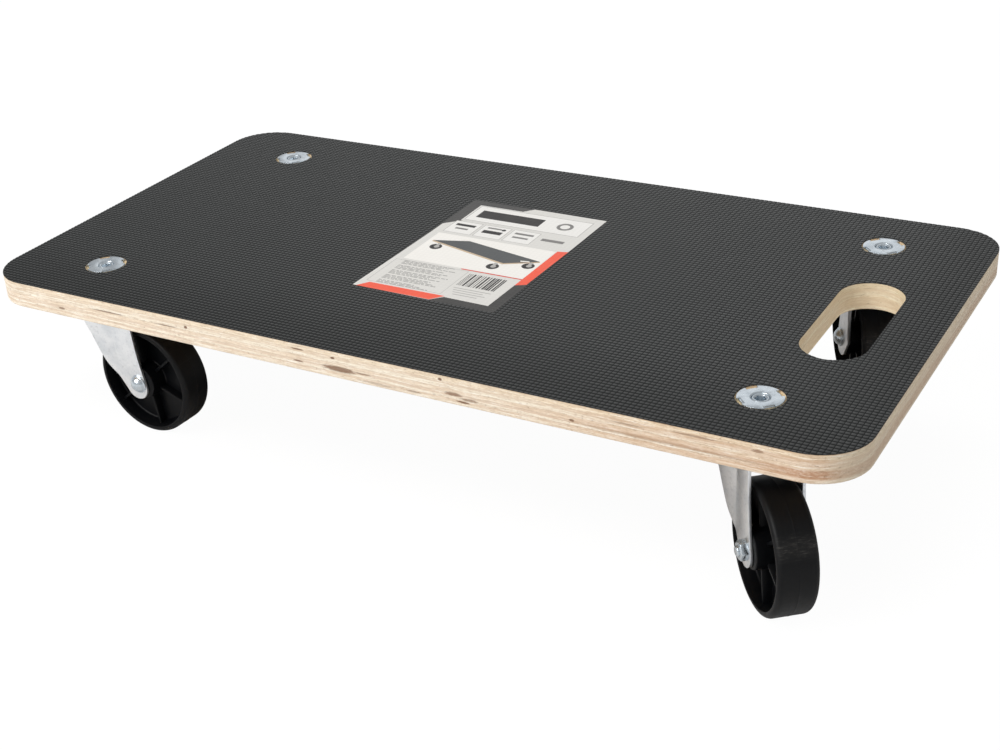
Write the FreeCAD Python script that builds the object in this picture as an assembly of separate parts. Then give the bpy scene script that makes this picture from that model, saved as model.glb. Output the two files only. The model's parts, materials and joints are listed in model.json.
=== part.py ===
import FreeCAD, Part
import math
import os

# Plywood transport dolly: a rectangular deck with an anti-slip film, a hand hole
# at one end and four swivel casters fixed by tee nuts.
#
# Deck frame (mm): origin on the floor under the deck centre, +X along the deck
# toward the hand hole, +Y across the deck, +Z up.
# Caster frame: origin on the swivel axis at the deck underside, +X (called u)
# toward the axle, +Z up. Each caster is then turned and moved to its place.

Vector = FreeCAD.Vector
ORIGIN = Vector(0, 0, 0)
X_AXIS = Vector(1, 0, 0)
Y_AXIS = Vector(0, 1, 0)
Z_AXIS = Vector(0, 0, 1)
OVERCUT = 1.0             # how far a cutting tool runs past a face

# --- deck sizes ---
DECK_L = 575.0
DECK_W = 300.0
PLY_T = 17.0
FILM_T = 0.5
CORNER_R = 30.0
UNDER_EASE = 1.4          # rounding of the lower deck edge
CASTER_H = 94.0           # floor to deck underside
Z_PLY = CASTER_H + PLY_T
Z_TOP = Z_PLY + FILM_T

SLOT_X = 237.5            # hand hole centre
SLOT_LEN = 104.0
SLOT_W = 38.0
SLOT_EASE = 1.0           # rounding of its lower edge

LABEL_X = -3.4
LABEL_Y = 4.5
LABEL_W = 100.0
LABEL_H = 150.0
LABEL_R = 1.5
LABEL_T = 0.15
LABEL_ANGLE = -0.7

CASTER_X = 222.5
CASTER_Y = 105.0
CASTER_SPOTS = [(sx * CASTER_X, sy * CASTER_Y) for sx in (-1, 1) for sy in (-1, 1)]

# x, y, angle of u from +X, side of the fork (sign of caster Y) with the bolt head
CASTERS = {
    "front_left": (-CASTER_X, -CASTER_Y, -2.6, -1),
    "front_right": (CASTER_X, -CASTER_Y, -49.7, 1),
    "back_right": (CASTER_X, CASTER_Y, 123.5, 1),
    "back_left": (-CASTER_X, CASTER_Y, 155.0, -1),
}

# --- tee nut sizes ---
TEE_FLANGE_D = 25.0
TEE_FLANGE_T = 1.5
TEE_FLANGE_Z = Z_TOP - TEE_FLANGE_T   # flange underside
TEE_BARREL_D = 12.0
TEE_BARREL_L = 11.0       # below the flange
TEE_BARREL_LAP = 0.5      # barrel reach into the flange
TEE_BARREL_GAP = 0.1      # radial gap to the hole in the deck
TEE_BORE_D = 10.0
TEE_SINK_D = 11.2         # 45 degree countersink
TEE_SINK_OVER = 0.2       # countersink tool above the top face
TEE_POCKET_D = 26.6
NOTCH_W = 6.4
NOTCH_D = 2.4
NOTCH_ANGLES = [45 + 90 * i for i in range(4)]
PRONG_W = 5.8
PRONG_T = 1.2
PRONG_L = 8.0
PRONG_R = TEE_FLANGE_D / 2 - NOTCH_D - 0.3   # inner face, just inside the notch floor
PRONG_LAP = 0.2           # blade reach into the flange
PRONG_ROOT_H = 1.0
PRONG_POINT_L = 3.4       # tapered length
PRONG_TIP_W = 1.4
PRONG_GAP = 0.05

# --- swivel head sizes, z in the caster frame ---
RACE_R = 22.0
RACE_T = 2.0
RACE_RIM_Z = -5.5         # lower edge of the rim
RACE_RIM_T = 1.6
RACE_BORE_D = 14.1
RACE_BORE_CHAMFER = 1.0
RACE_SHOULDER = 1.6       # two-facet outer shoulder
RACE_SHOULDER_MID = 0.45  # inset of the point between the facets
BALL_GAP = 0.1            # between a ball and its groove
UPPER_BALL_D = 5.0
UPPER_BALL_R = 16.0       # pitch radius
UPPER_BALL_N = 18
UPPER_BALL_Z = -4.3
LOWER_BALL_D = 4.0
LOWER_BALL_R = 11.0
LOWER_BALL_N = 15
LOWER_BALL_Z = -10.4
LOWER_RACE_Z = -12.2
LOWER_RACE_T = 2.0
LOWER_RACE_BOTTOM_Z = LOWER_RACE_Z - LOWER_RACE_T
LOWER_RACE_R = 15.0
LOWER_RACE_CHAMFER = 0.4
PIN_D = 14.0
PIN_BORE_D = 10.4
PIN_FLARE = 0.9           # radial growth at the top
PIN_FLARE_H = 0.95
PIN_HEAD_D = 18.6
PIN_HEAD_T = 1.5
PIN_HEAD_CHAMFER = 0.4
PIN_BOTTOM_Z = LOWER_RACE_BOTTOM_Z - PIN_HEAD_T

# --- mounting bolt sizes, z in the caster frame ---
BOLT_D = 9.9
BOLT_HEAD_AF = 17.0       # across flats
BOLT_HEAD_H = 4.5
BOLT_HEAD_TURN = 30
BOLT_HEAD_CHAMFER_H = 1.0
BOLT_HEAD_FACE_INSET = 0.4
BOLT_LAP = 0.5            # shank reach into the head
BOLT_TOP = 17.2
BOLT_CHAMFER = 0.7
SOCKET_AF = 5.8
SOCKET_DEPTH = 5.0
SOCKET_TURN = 15
SOCKET_LEAD_R = 3.9       # lead-in cone, 0.1 above the bolt end
SOCKET_LEAD_R2 = 3.1      # lead-in cone at its floor
SOCKET_LEAD_H = 0.7

# --- fork sizes, z in the caster frame ---
CROWN_Z = -6.6
CROWN_T = 2.0
LEG_T = 1.7
CROWN_R = 22.6
CROWN_BORE_D = 16.4
CROWN_CORNER_R = 9.0      # outer plan radius between flare and crown arc
CROWN_BEND_OUT = 3.2
CROWN_BEND_IN = 1.4
LEG_OUT = 15.5            # outer face of the flat part of a leg
AXLE_U = 27.3
AXLE_Z = -56.6
AXLE_HOLE_D = 6.4
FLARE_U = 11.0            # the flat part ends here and the sides spread toward -u
FLARE_SLOPE = 0.36
FLARE_BEND = 5.0          # outer bend radius between flare and flat
SCOOP_R = 17.0            # round cut in the +u edge of the crown
SCOOP_U = 40.3
TIP_U = 25.2
TIP_Z = -59.2
TIP_R = 8.7
TIP_START = 213.4         # tip arc, degrees from +u
TIP_END = 372
LIP_Z = -14.5             # lower edge of the crown on the -u side
LIP_U = -7.8              # end of its straight edge
OUTLINE_MIN_U = -30.0
OUTLINE_TOP_Z = CROWN_Z + 1.0

# Side outline of the fork, (u, z). The -u edge runs down to the tip.
LEADING_EDGE = [
    (-6.4, LIP_Z - 1.2), (-4.2, -20.5), (-1.3, -29.0), (1.2, -36.6),
    (4.2, -44.2), (7.8, -49.8), (11.3, -54.4),
]
LEADING_START = (0.35, -1.0)          # tangent at its upper end
LIP_ARC_MID = (-6.85, LIP_Z - 0.33)
# The +u edge runs up from the tip.
TRAILING_EDGE = [
    (31.5, -47.0), (29.6, -36.0), (28.1, -22.0), (27.4, -12.0), (27.2, OUTLINE_TOP_Z),
]

# --- wheel sizes ---
WHEEL_R = CASTER_H + AXLE_Z
WHEEL_W = 22.6
SHOULDER_R = 3.0
RIM_FACE_R = 33.4         # inside of the rim at its face
RIM_WEB_R = 31.9          # inside of the rim at the web
RIM_EDGE_R = 0.5
WEB_T = 5.0
HUB_FACE_R = 11.2
HUB_WEB_R = 12.0
HUB_CHAMFER = 0.6
HUB_L = 27.0
HUB_BORE_D = 9.1
RIB_N = 6
RIB_T = 2.2
RIB_Y = 7.6               # rib edge from the mid plane
RIB_HUB_LAP = 0.9
RIB_RIM_LAP = 0.7
RIB_TURN = 20

# --- axle sizes ---
SLEEVE_OD = 9.0
SLEEVE_ID = 6.2
SLEEVE_L = 27.6
AXLE_D = 6.0
AXLE_CHAMFER = 0.6
AXLE_LAP = 0.2            # shank reach into the head
AXLE_FLANGE_D = 12.4
AXLE_FLANGE_T = 1.1
AXLE_FLANGE_CHAMFER = 0.35
AXLE_DOME_D = 11.0
AXLE_DOME_H = 3.4
NUT_AF = 10.0
NUT_H = 4.4
NUT_BORE = 6.04
NUT_TURN = 8
AXLE_END = 1.3            # bolt end past the nut
FACE_OVERLAP = 0.001      # keeps trimming tools off coincident faces


# --- helpers ---
def save(shape, name):
    shape = shape.removeSplitter()
    # Repairs a shape that merging its faces has left invalid.
    if not shape.isValid():
        shape.fix(1e-4, 1e-4, 1e-3)
    shape.exportStep("parts/" + name + ".step")


def turn(shape, angle):
    shape.rotate(ORIGIN, Z_AXIS, angle)
    return shape


def cylinder(radius, height, z, x=0.0, y=0.0):
    return Part.makeCylinder(radius, height, Vector(x, y, z))


def polygon_face(points):
    return Part.Face(Part.makePolygon(points + [points[0]]))


def xz_vector(point):
    return Vector(point[0], 0, point[1])


def xz_edge(*points):
    """Line through two, or arc through three, points of the XZ plane."""
    vectors = [xz_vector(p) for p in points]
    curve = Part.Arc if len(points) == 3 else Part.LineSegment
    return curve(*vectors).toShape()


def edges_face(edges):
    return Part.Face(Part.Wire(Part.__sortEdges__(edges)))


def hexagon(across_flats, z, height, angle):
    radius = across_flats / math.sqrt(3.0)
    corners = [math.radians(angle + 60 * i) for i in range(6)]
    points = [Vector(radius * math.cos(a), radius * math.sin(a), z) for a in corners]
    return polygon_face(points).extrude(Vector(0, 0, height))


def revolve(points):
    """Solid of revolution about Z from (r, z) points."""
    return polygon_face([xz_vector(p) for p in points]).revolve(ORIGIN, Z_AXIS, 360)


def rounded_slab(length, width, radius, z, height):
    box = Part.makeBox(length, width, height, Vector(-length / 2.0, -width / 2.0, z))
    edges = [e for e in box.Edges if abs(e.BoundBox.ZLength - height) < 1e-6]
    return box.makeFillet(radius, edges)


def edges_at(shape, z):
    return [e for e in shape.Edges
            if abs(e.BoundBox.ZMin - z) < 1e-4 and abs(e.BoundBox.ZMax - z) < 1e-4]


# --- deck ---
def hand_hole(z, height):
    """Slot with round ends, long axis along Y."""
    radius = SLOT_W / 2.0
    reach = SLOT_LEN / 2.0 - radius
    back = cylinder(radius, height, z, SLOT_X, reach)
    front = cylinder(radius, height, z, SLOT_X, -reach)
    middle = Part.makeBox(SLOT_W, 2 * reach, height, Vector(SLOT_X - radius, -reach, z))
    return back.fuse([front, middle]).removeSplitter()


def in_slot(edge):
    box = edge.BoundBox
    return box.XMin > SLOT_X - SLOT_W / 2 - 1 and box.XMax < SLOT_X + SLOT_W / 2 + 1


def prong(angle, grow=0.0):
    """Pointed blade of the tee nut, standing at a notch."""
    half = PRONG_W / 2.0 + grow
    half_tip = PRONG_TIP_W / 2.0 + grow
    top = TEE_FLANGE_Z + PRONG_LAP
    bottom = TEE_FLANGE_Z - PRONG_L - grow
    shoulder = bottom + PRONG_POINT_L
    outline = [(-half, top), (half, top), (half, shoulder),
               (half_tip, bottom), (-half_tip, bottom), (-half, shoulder)]
    face = polygon_face([Vector(PRONG_R - grow, y, z) for y, z in outline])
    return turn(face.extrude(Vector(PRONG_T + 2 * grow, 0, 0)), angle)


def build_plywood():
    slab = rounded_slab(DECK_L, DECK_W, CORNER_R, CASTER_H, PLY_T)
    slab = slab.cut(hand_hole(CASTER_H - OVERCUT, PLY_T + 2 * OVERCUT))
    outer = [e for e in edges_at(slab, CASTER_H) if not in_slot(e)]
    slab = slab.makeFillet(UNDER_EASE, outer)
    inner = [e for e in edges_at(slab, CASTER_H) if in_slot(e)]
    slab = slab.makeFillet(SLOT_EASE, inner)
    cuts = []
    for x, y in CASTER_SPOTS:
        cuts.append(cylinder(TEE_BARREL_D / 2 + TEE_BARREL_GAP, PLY_T + 2 * OVERCUT,
                             CASTER_H - OVERCUT, x, y))
        cuts.append(cylinder(TEE_POCKET_D / 2, TEE_FLANGE_T - FILM_T + OVERCUT,
                             TEE_FLANGE_Z, x, y))
        for angle in NOTCH_ANGLES:
            blade = prong(angle, PRONG_GAP)
            blade.translate(Vector(x, y, 0))
            cuts.append(blade)
    return slab.cut(cuts)


def build_label(height=LABEL_T):
    label = rounded_slab(LABEL_W, LABEL_H, LABEL_R, Z_TOP - LABEL_T, height)
    turn(label, LABEL_ANGLE)
    label.translate(Vector(LABEL_X, LABEL_Y, 0))
    return label


def build_film():
    film = rounded_slab(DECK_L, DECK_W, CORNER_R, Z_PLY, FILM_T)
    z = Z_PLY - OVERCUT
    height = FILM_T + 2 * OVERCUT
    cuts = [hand_hole(z, height)]
    for x, y in CASTER_SPOTS:
        cuts.append(cylinder(TEE_POCKET_D / 2, height, z, x, y))
    cuts.append(build_label(LABEL_T + OVERCUT))
    return film.cut(cuts)


def build_tee_nut():
    """Tee nut at its height in the deck frame, centred on the Z axis."""
    flange = cylinder(TEE_FLANGE_D / 2, TEE_FLANGE_T, TEE_FLANGE_Z)
    for angle in NOTCH_ANGLES:
        notch = Part.makeBox(
            NOTCH_D + 2 * OVERCUT, NOTCH_W, TEE_FLANGE_T + 2 * OVERCUT,
            Vector(TEE_FLANGE_D / 2 - NOTCH_D, -NOTCH_W / 2, TEE_FLANGE_Z - OVERCUT))
        flange = flange.cut(turn(notch, angle))
    barrel_z = TEE_FLANGE_Z - TEE_BARREL_L
    body = flange.fuse(cylinder(TEE_BARREL_D / 2, TEE_BARREL_L + TEE_BARREL_LAP, barrel_z))
    for angle in NOTCH_ANGLES:
        root = Part.makeBox(PRONG_T, PRONG_W, PRONG_ROOT_H,
                            Vector(PRONG_R, -PRONG_W / 2, TEE_FLANGE_Z))
        body = body.fuse([prong(angle), turn(root, angle)])
    body = body.cut(cylinder(TEE_BORE_D / 2, TEE_BARREL_L + TEE_FLANGE_T + 4 * OVERCUT,
                             barrel_z - 2 * OVERCUT))
    sink_top = Z_TOP + TEE_SINK_OVER
    sink_floor = Z_TOP - (TEE_SINK_D - TEE_BORE_D) / 2
    sink = revolve([(0, sink_top), (TEE_SINK_D / 2 + TEE_SINK_OVER, sink_top),
                    (TEE_BORE_D / 2, sink_floor), (0, sink_floor)])
    return body.cut(sink)


# --- swivel head ---
def ball_groove(pitch_radius, ball_d, z):
    return Part.makeTorus(pitch_radius, ball_d / 2 + BALL_GAP, Vector(0, 0, z), Z_AXIS)


def upper_groove():
    return ball_groove(UPPER_BALL_R, UPPER_BALL_D, UPPER_BALL_Z)


def lower_groove():
    return ball_groove(LOWER_BALL_R, LOWER_BALL_D, LOWER_BALL_Z)


def build_mounting_bolt():
    top = PIN_BOTTOM_Z
    bottom = top - BOLT_HEAD_H
    head = hexagon(BOLT_HEAD_AF, bottom, BOLT_HEAD_H, BOLT_HEAD_TURN)
    clear_r = BOLT_HEAD_AF / math.sqrt(3.0) + OVERCUT
    cone = revolve([(0, top + OVERCUT), (clear_r, top + OVERCUT),
                    (clear_r, bottom + BOLT_HEAD_CHAMFER_H),
                    (BOLT_HEAD_AF / 2 - BOLT_HEAD_FACE_INSET, bottom), (0, bottom)])
    head = head.common(cone)
    shank = revolve([(0, top - BOLT_LAP), (BOLT_D / 2, top - BOLT_LAP),
                     (BOLT_D / 2, BOLT_TOP - BOLT_CHAMFER),
                     (BOLT_D / 2 - BOLT_CHAMFER, BOLT_TOP), (0, BOLT_TOP)])
    bolt = head.fuse(shank)
    socket = hexagon(SOCKET_AF, BOLT_TOP - SOCKET_DEPTH, SOCKET_DEPTH + OVERCUT, SOCKET_TURN)
    lead_top = BOLT_TOP + 0.1
    lead_floor = BOLT_TOP - SOCKET_LEAD_H
    lead = revolve([(0, lead_top), (SOCKET_LEAD_R, lead_top),
                    (SOCKET_LEAD_R2, lead_floor), (0, lead_floor)])
    return bolt.cut([socket, lead])


def build_kingpin():
    chamfer = PIN_HEAD_CHAMFER
    return revolve([
        (PIN_BORE_D / 2, 0), (PIN_D / 2 + PIN_FLARE, 0), (PIN_D / 2, -PIN_FLARE_H),
        (PIN_D / 2, LOWER_RACE_BOTTOM_Z), (PIN_HEAD_D / 2, LOWER_RACE_BOTTOM_Z),
        (PIN_HEAD_D / 2, PIN_BOTTOM_Z + chamfer),
        (PIN_HEAD_D / 2 - chamfer, PIN_BOTTOM_Z), (PIN_BORE_D / 2, PIN_BOTTOM_Z),
    ])


def build_top_race():
    bore_r = RACE_BORE_D / 2
    return revolve([
        (bore_r, -RACE_BORE_CHAMFER), (bore_r + RACE_BORE_CHAMFER, 0),
        (RACE_R - RACE_SHOULDER, 0), (RACE_R - RACE_SHOULDER_MID, -RACE_SHOULDER_MID),
        (RACE_R, -RACE_SHOULDER), (RACE_R, RACE_RIM_Z), (RACE_R - RACE_RIM_T, RACE_RIM_Z),
        (RACE_R - RACE_RIM_T, -RACE_T), (bore_r, -RACE_T),
    ]).cut(upper_groove())


def build_lower_race():
    top = LOWER_RACE_Z
    bottom = LOWER_RACE_BOTTOM_Z
    chamfer = LOWER_RACE_CHAMFER
    return revolve([
        (RACE_BORE_D / 2, top), (LOWER_RACE_R - chamfer, top),
        (LOWER_RACE_R, top - chamfer), (LOWER_RACE_R, bottom + chamfer),
        (LOWER_RACE_R - chamfer, bottom), (RACE_BORE_D / 2, bottom),
    ]).cut(lower_groove())


def build_balls(count, pitch_radius, ball_d, z):
    balls = []
    for i in range(count):
        angle = 2 * math.pi * i / count
        centre = Vector(pitch_radius * math.cos(angle), pitch_radius * math.sin(angle), z)
        balls.append(Part.makeSphere(ball_d / 2, centre))
    return Part.makeCompound(balls)


# --- fork ---
def upright_edges(block, height, x, y):
    """Vertical edges of the block at (x, y) and (x, -y)."""
    return [e for e in block.Edges
            if e.BoundBox.ZLength > height - 1e-3 and e.BoundBox.XLength < 1e-3
            and abs(e.BoundBox.XMin - x) < 1e-3 and abs(abs(e.BoundBox.YMin) - y) < 1e-3]


def fork_block(inset, z_low, z_top, u_end, top_bend):
    """Block in the fork's plan shape, its outer skin moved inward by inset."""
    y_flat = LEG_OUT - inset
    radius = CROWN_R - inset
    # Flare line: unit normal (nx, ny) and distance from the swivel axis.
    scale = math.hypot(FLARE_SLOPE, 1.0)
    nx, ny = FLARE_SLOPE / scale, 1.0 / scale
    distance = nx * FLARE_U + ny * LEG_OUT - inset
    x_flat = (distance - ny * y_flat) / nx
    # Where the flare line meets the crown circle.
    half_chord = math.sqrt(radius * radius - distance * distance)
    x_arc = distance * nx - half_chord * ny
    y_arc = distance * ny + half_chord * nx
    plan = [(x_arc, -y_arc), (x_flat, -y_flat), (u_end, -y_flat),
            (u_end, y_flat), (x_flat, y_flat), (x_arc, y_arc)]
    points = [Vector(x, y, z_low) for x, y in plan]
    arc = Part.Arc(points[-1], Vector(-radius, 0, z_low), points[0]).toShape()
    lines = [Part.LineSegment(a, b).toShape() for a, b in zip(points[:-1], points[1:])]
    height = z_top - z_low
    block = edges_face([arc] + lines).extrude(Vector(0, 0, height))
    block = block.makeFillet(FLARE_BEND + inset, upright_edges(block, height, x_flat, y_flat))
    block = block.makeFillet(CROWN_CORNER_R - inset, upright_edges(block, height, x_arc, y_arc))
    # Round the top all round except at the +u end.
    rim = [e for e in edges_at(block, z_top) if e.BoundBox.XMin < u_end - 0.1]
    return block.makeFillet(top_bend, rim)


def side_prism():
    """Side outline of the fork, extruded across its full width."""
    start = math.radians(TIP_START)
    end = math.radians(TIP_END)
    tip_start, tip_mid, tip_end = [
        (TIP_U + TIP_R * math.cos(a), TIP_Z + TIP_R * math.sin(a))
        for a in (start, (start + end) / 2, end)]
    leading = Part.BSplineCurve()
    leading.interpolate(Points=[xz_vector(p) for p in LEADING_EDGE + [tip_start]],
                        InitialTangent=xz_vector(LEADING_START),
                        FinalTangent=Vector(-math.sin(start), 0, math.cos(start)))
    trailing = Part.BSplineCurve()
    trailing.interpolate(Points=[xz_vector(p) for p in [tip_end] + TRAILING_EDGE])
    top_corner = (OUTLINE_MIN_U, OUTLINE_TOP_Z)
    lip_corner = (OUTLINE_MIN_U, LIP_Z)
    lip_end = (LIP_U, LIP_Z)
    solid = edges_face([
        xz_edge(TRAILING_EDGE[-1], top_corner),
        xz_edge(top_corner, lip_corner),
        xz_edge(lip_corner, lip_end),
        xz_edge(lip_end, LIP_ARC_MID, LEADING_EDGE[0]),
        leading.toShape(),
        xz_edge(tip_start, tip_mid, tip_end),
        trailing.toShape(),
    ]).extrude(Vector(0, 80, 0))
    solid.translate(Vector(0, -40, 0))
    return solid


def build_fork():
    z_low = TIP_Z - TIP_R - 4
    outer = fork_block(0.0, z_low, CROWN_Z, 40.0, CROWN_BEND_OUT)
    inner = fork_block(LEG_T, z_low - OVERCUT, CROWN_Z - CROWN_T, 45.0, CROWN_BEND_IN)
    return outer.cut(inner).common(side_prism()).cut([
        cylinder(CROWN_BORE_D / 2, 10, CROWN_Z - 5),
        upper_groove(),
        lower_groove(),
        cylinder(SCOOP_R, 12, CROWN_Z - 6, SCOOP_U),
        Part.makeCylinder(AXLE_HOLE_D / 2, 60, Vector(AXLE_U, -30, AXLE_Z), Y_AXIS),
    ])


# --- axle and wheel, built along Z about the origin ---
def to_axle(shape, side=-1):
    """Lay a shape on the axle line, +Z becoming +Y, or -Y when side is 1."""
    if side > 0:
        shape.rotate(ORIGIN, X_AXIS, 180)
    shape.rotate(ORIGIN, X_AXIS, -90)
    shape.translate(Vector(AXLE_U, 0, AXLE_Z))
    return shape


def build_axle_bolt(side):
    seat = -LEG_OUT
    flange_z = seat - AXLE_FLANGE_T
    dome_z = flange_z - AXLE_DOME_H
    sphere_r = ((AXLE_DOME_D / 2) ** 2 + AXLE_DOME_H ** 2) / (2 * AXLE_DOME_H)
    dome = Part.makeSphere(sphere_r, Vector(0, 0, dome_z + sphere_r))
    dome = dome.common(cylinder(AXLE_DOME_D / 2, AXLE_DOME_H + FACE_OVERLAP, dome_z))
    flange_r = AXLE_FLANGE_D / 2
    flange = revolve([(0, seat), (flange_r, seat), (flange_r, flange_z + AXLE_FLANGE_CHAMFER),
                      (flange_r - AXLE_FLANGE_CHAMFER, flange_z), (0, flange_z)])
    end = LEG_OUT + NUT_H + AXLE_END
    shank = revolve([(0, seat - AXLE_LAP), (AXLE_D / 2, seat - AXLE_LAP),
                     (AXLE_D / 2, end - AXLE_CHAMFER), (AXLE_D / 2 - AXLE_CHAMFER, end),
                     (0, end)])
    return to_axle(dome.fuse([flange, shank]).removeSplitter(), side)


def build_axle_nut(side):
    seat = LEG_OUT
    top = seat + NUT_H
    corner_r = NUT_AF / math.sqrt(3.0)
    nut = hexagon(NUT_AF, seat, NUT_H, NUT_TURN)
    # Trims the hexagon corners slightly at the seat and more at the outer face.
    cone = revolve([(0, seat), (corner_r - 0.1, seat), (corner_r + 0.2, seat + 0.5),
                    (corner_r + 0.2, top - 1.0), (NUT_AF / 2 - 0.5, top + FACE_OVERLAP),
                    (0, top + FACE_OVERLAP)])
    bore = cylinder(NUT_BORE / 2, NUT_H + 2 * OVERCUT, seat - OVERCUT)
    return to_axle(nut.common(cone).cut(bore), side)


def build_sleeve():
    z = -SLEEVE_L / 2
    bore = cylinder(SLEEVE_ID / 2, SLEEVE_L + 2 * OVERCUT, z - OVERCUT)
    return to_axle(cylinder(SLEEVE_OD / 2, SLEEVE_L, z).cut(bore))


def build_wheel():
    face = WHEEL_W / 2.0
    web = WEB_T / 2.0
    hub = HUB_L / 2.0
    bore_r = HUB_BORE_D / 2
    tread = face - SHOULDER_R
    arc_inset = SHOULDER_R * (1 - math.sqrt(0.5))
    # (r, z) points of the +Z half, from the tread in to the bore.
    half = [xz_edge(*points) for points in [
        [(WHEEL_R, tread), (WHEEL_R - arc_inset, face - arc_inset), (WHEEL_R - SHOULDER_R, face)],
        [(WHEEL_R - SHOULDER_R, face), (RIM_FACE_R + RIM_EDGE_R, face)],
        [(RIM_FACE_R + RIM_EDGE_R, face), (RIM_FACE_R + 0.15, face - 0.15),
         (RIM_FACE_R, face - RIM_EDGE_R)],
        [(RIM_FACE_R, face - RIM_EDGE_R), (RIM_WEB_R, web + 1.5)],
        [(RIM_WEB_R, web + 1.5), (RIM_WEB_R - 0.5, web + 0.45), (RIM_WEB_R - 1.5, web)],
        [(RIM_WEB_R - 1.5, web), (HUB_WEB_R + 1.2, web)],
        [(HUB_WEB_R + 1.2, web), (HUB_WEB_R + 0.35, web + 0.35), (HUB_WEB_R, web + 1.2)],
        [(HUB_WEB_R, web + 1.2), (HUB_FACE_R, hub - HUB_CHAMFER)],
        [(HUB_FACE_R, hub - HUB_CHAMFER), (HUB_FACE_R - HUB_CHAMFER, hub)],
        [(HUB_FACE_R - HUB_CHAMFER, hub), (bore_r, hub)],
    ]]
    mirrored = [e.mirror(ORIGIN, Z_AXIS) for e in half]
    tread_edge = xz_edge((WHEEL_R, -tread), (WHEEL_R, tread))
    bore_edge = xz_edge((bore_r, hub), (bore_r, -hub))
    profile = edges_face([tread_edge] + half + [bore_edge] + mirrored)
    body = profile.revolve(ORIGIN, Z_AXIS, 360)
    # The sorted profile may run either way round and turn the solid inside out.
    if body.Volume < 0:
        body.reverse()
    ribs = []
    for i in range(RIB_N):
        rib = Part.makeBox(RIM_WEB_R - HUB_WEB_R + RIB_HUB_LAP + RIB_RIM_LAP, RIB_T, 2 * RIB_Y,
                           Vector(HUB_WEB_R - RIB_HUB_LAP, -RIB_T / 2, -RIB_Y))
        ribs.append(turn(rib, 360.0 / RIB_N * i + RIB_TURN))
    return to_axle(body.fuse(ribs).removeSplitter())


# --- output ---
def place(shape, x, y, angle):
    """Copy of a shape moved from the caster frame to the deck frame."""
    placed = turn(shape.copy(), angle)
    placed.translate(Vector(x, y, CASTER_H))
    return placed


os.makedirs("parts", exist_ok=True)
save(build_plywood(), "plywood_panel")
save(build_film(), "anti_slip_film")
save(build_label(), "product_label")

tee_nut = build_tee_nut()
fixed_parts = {
    "mounting_bolt_": build_mounting_bolt(),
    "kingpin_": build_kingpin(),
    "top_race_": build_top_race(),
    "lower_race_": build_lower_race(),
}
swivel_parts = {
    "upper_balls_": build_balls(UPPER_BALL_N, UPPER_BALL_R, UPPER_BALL_D, UPPER_BALL_Z),
    "lower_balls_": build_balls(LOWER_BALL_N, LOWER_BALL_R, LOWER_BALL_D, LOWER_BALL_Z),
    "fork_": build_fork(),
    "axle_sleeve_": build_sleeve(),
    "wheel_": build_wheel(),
}

for name, (x, y, angle, head_side) in CASTERS.items():
    nut = tee_nut.copy()
    nut.translate(Vector(x, y, 0))
    save(nut, "tee_nut_" + name)
    for prefix, shape in fixed_parts.items():
        save(place(shape, x, y, 0), prefix + name)
    for prefix, shape in swivel_parts.items():
        save(place(shape, x, y, angle), prefix + name)
    save(place(build_axle_bolt(head_side), x, y, angle), "axle_bolt_" + name)
    save(place(build_axle_nut(head_side), x, y, angle), "axle_nut_" + name)
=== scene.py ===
"""A low four-wheeled platform dolly.

The plywood deck lies flat, centred on the Z axis, with its long sides along X. The floor is
at z = 0 and +Z is up. "Front" is the long side at -Y, "left" is -X. A slotted hand hole is
cut near the right end. The top carries an anti-slip film and a sticker, and a swivel caster
sits under each corner. Lengths are in millimetres unless noted; meshes are made in metres.
"""
import json
import math

import bmesh
import bpy
import numpy as np
from mathutils import Matrix, Vector

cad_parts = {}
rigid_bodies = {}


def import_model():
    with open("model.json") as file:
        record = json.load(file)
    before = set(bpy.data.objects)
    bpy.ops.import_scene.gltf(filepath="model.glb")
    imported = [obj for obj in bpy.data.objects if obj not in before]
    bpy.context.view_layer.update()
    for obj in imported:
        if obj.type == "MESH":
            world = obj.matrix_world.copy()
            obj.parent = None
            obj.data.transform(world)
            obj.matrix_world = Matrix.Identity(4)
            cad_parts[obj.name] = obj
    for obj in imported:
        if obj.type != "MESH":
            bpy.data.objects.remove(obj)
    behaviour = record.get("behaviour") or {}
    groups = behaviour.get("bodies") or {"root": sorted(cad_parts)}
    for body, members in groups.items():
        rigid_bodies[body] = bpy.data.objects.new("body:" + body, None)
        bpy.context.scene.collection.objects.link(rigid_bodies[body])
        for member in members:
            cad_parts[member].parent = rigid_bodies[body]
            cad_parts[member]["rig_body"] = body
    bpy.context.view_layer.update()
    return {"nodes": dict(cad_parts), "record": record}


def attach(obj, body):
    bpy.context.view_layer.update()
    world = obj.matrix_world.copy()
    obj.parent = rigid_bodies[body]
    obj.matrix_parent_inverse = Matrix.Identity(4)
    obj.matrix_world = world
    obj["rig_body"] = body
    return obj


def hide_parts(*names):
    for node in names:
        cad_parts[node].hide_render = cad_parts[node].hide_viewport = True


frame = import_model()
MM = 0.001

# Deck
DECK_L, DECK_W, CORNER_R = 575.0, 300.0, 30.0
PLY_BOTTOM, PLY_TOP = 94.0, 111.0
PLY_THICK = PLY_TOP - PLY_BOTTOM
SLOT_X, SLOT_LEN, SLOT_W = 237.5, 104.0, 38.0

# Film: square mesh of low pads
MESH_PITCH = 3.0
MESH_SHIFT_X, MESH_SHIFT_Y = 1.2, 0.4
PAD_HALF_X, PAD_HALF_Y = 1.06, 0.61
VALLEY_Z, PAD_Z = 111.27, 111.478

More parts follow.
